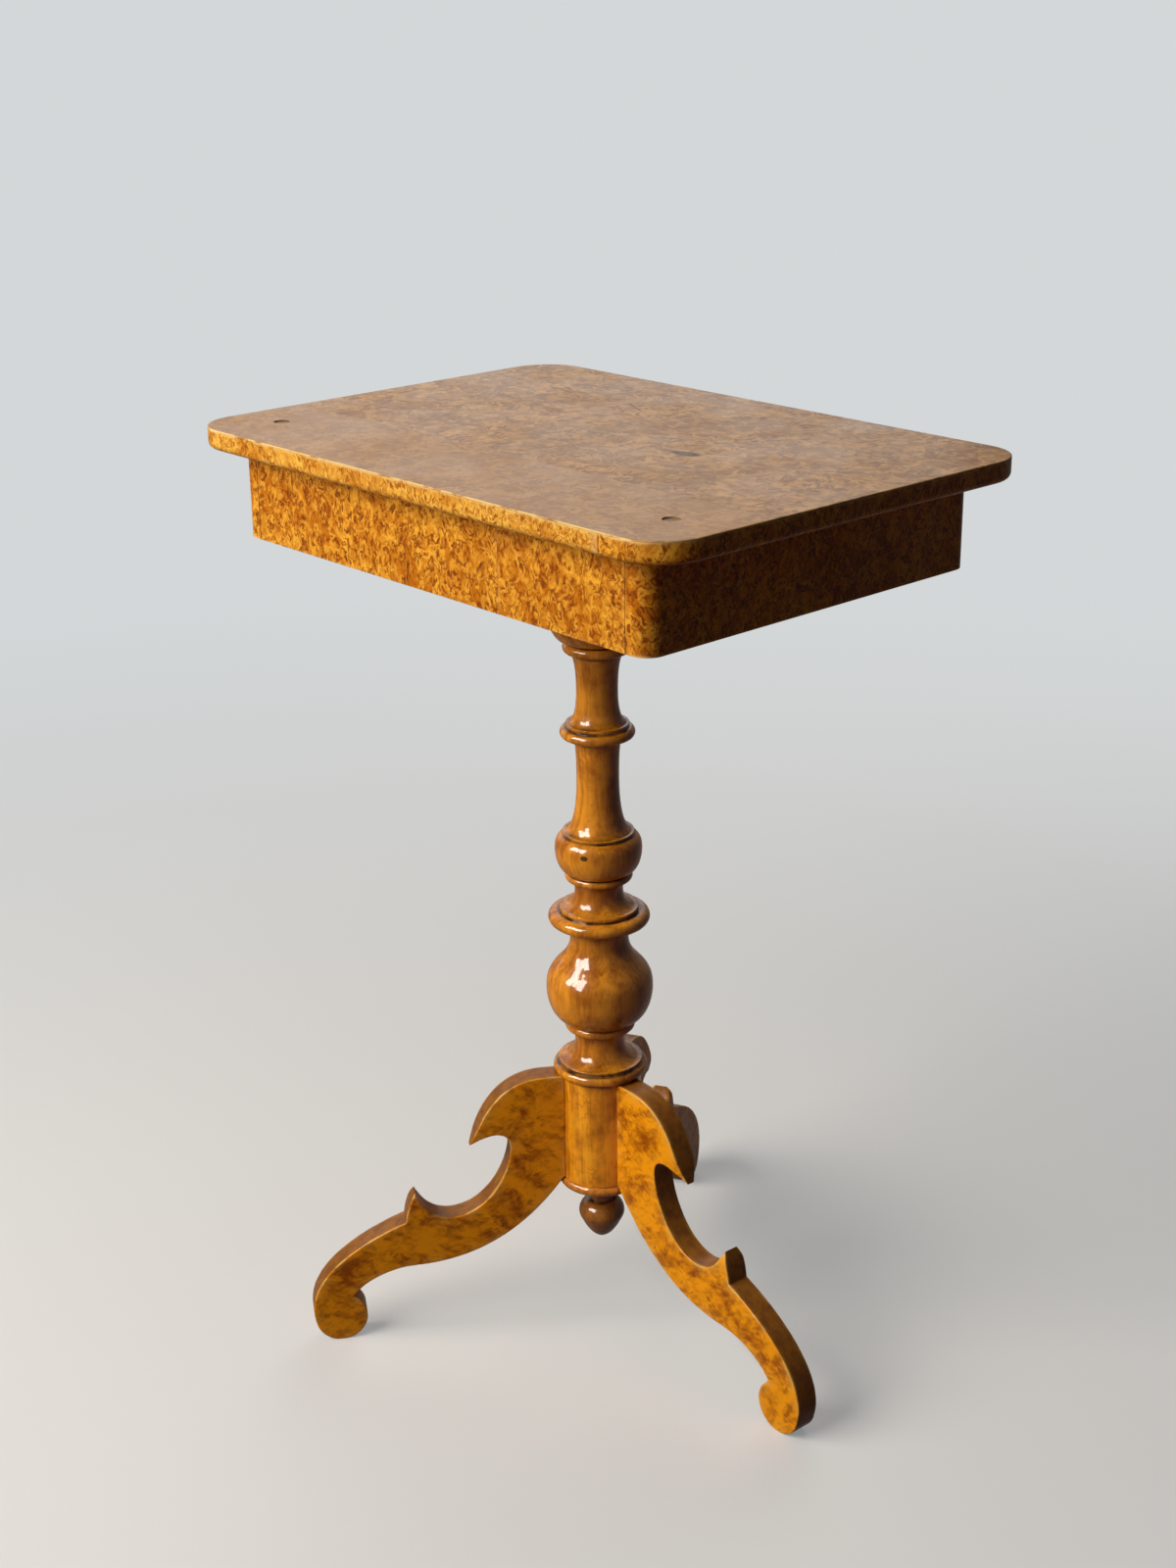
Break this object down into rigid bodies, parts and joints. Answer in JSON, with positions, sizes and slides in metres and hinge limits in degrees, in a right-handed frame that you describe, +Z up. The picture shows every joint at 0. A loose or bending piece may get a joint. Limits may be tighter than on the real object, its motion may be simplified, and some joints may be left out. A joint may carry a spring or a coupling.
{
  "type": "pedestal table",
  "caption": "Small pedestal table with a round-cornered burl-veneered top, a frieze drawer, a turned column with a pendant drop, and sawn scroll legs dovetailed into the column.",
  "frame": {"origin": "on the floor, under the column's axis, at about the middle of the table's footprint", "axes": "+Z up along the column, +X along the top's long side towards the end that one leg points to within 2.4 degrees, -Y towards the drawer's front"},
  "size_m": [0.52, 0.4346, 0.75],
  "materials": {
    "burl_veneer": "burl birch veneer under old shellac, glossy",
    "polished_birch": "solid birch, stained amber and shellac polished",
    "pine": "plain planed pine, unpolished and darkened with age",
    "plug_wood": "brown wooden plug",
    "iron": "plain iron wood screw"
  },
  "bodies": {
    "table": {"top_board": "pine", "top_veneer": "burl_veneer", "lipping_front": "burl_veneer", "lipping_right_end": "burl_veneer", "lipping_back": "burl_veneer", "lipping_left_end": "burl_veneer", "lipping_front_left_corner": "burl_veneer", "lipping_front_right_corner": "burl_veneer", "lipping_back_right_corner": "burl_veneer", "lipping_back_left_corner": "burl_veneer", "top_plug_left": "plug_wood", "top_plug_right": "plug_wood", "top_screw_left": "iron", "top_screw_right": "iron", "left_end_rail": "pine", "right_end_rail": "pine", "left_end_veneer": "burl_veneer", "right_end_veneer": "burl_veneer", "back_rail": "pine", "back_veneer": "burl_veneer", "front_bottom_rail": "pine", "column_bearer": "pine", "left_runner": "pine", "right_runner": "pine", "left_kicker": "pine", "right_kicker": "pine", "left_drawer_stop": "polished_birch", "right_drawer_stop": "polished_birch", "left_glue_block": "pine", "right_glue_block": "pine", "column": "polished_birch", "tenon_wedge": "polished_birch", "leg_right": "polished_birch", "leg_back_left": "polished_birch", "leg_front_left": "polished_birch", "pendant": "polished_birch"},
    "drawer": {"drawer_front": "pine", "drawer_front_veneer": "burl_veneer", "drawer_left_side": "pine", "drawer_right_side": "pine", "drawer_back": "pine", "drawer_bottom": "pine"}
  },
  "joints": [
    {"name": "drawer_slide", "type": "slide", "parent": "table", "child": "drawer", "axis": [0, -1, 0], "range_m": [0, 0.2]}
  ]
}
